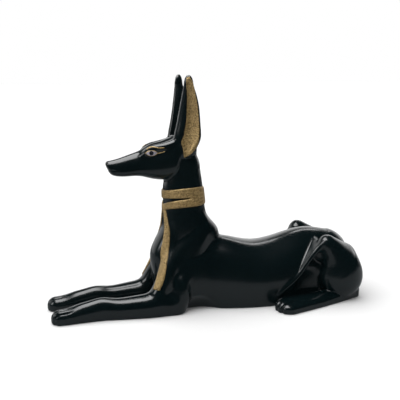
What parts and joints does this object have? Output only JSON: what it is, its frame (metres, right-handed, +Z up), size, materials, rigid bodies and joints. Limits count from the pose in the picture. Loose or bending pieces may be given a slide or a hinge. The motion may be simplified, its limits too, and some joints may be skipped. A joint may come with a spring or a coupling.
{
  "type": "recumbent jackal figure",
  "caption": "Glazed porcelain figure of a jackal lying with its head raised, ears up, and a gilded scarf round its neck.",
  "frame": {"origin": "on the ground under the middle of the figure", "axes": "+Z up; the head and forepaws point to -X; +Y is the figure's left-right direction"},
  "size_m": [0.358, 0.146, 0.256],
  "materials": {
    "black_glaze": "deep greenish black high-gloss glaze over cast porcelain",
    "gilding": "matt old gold, brushed over the ear linings and the scarf",
    "painted_eye": "pale grey enamel with a black iris"
  },
  "bodies": {
    "root": {"jackal_figure": "black_glaze"}
  },
  "joints": []
}
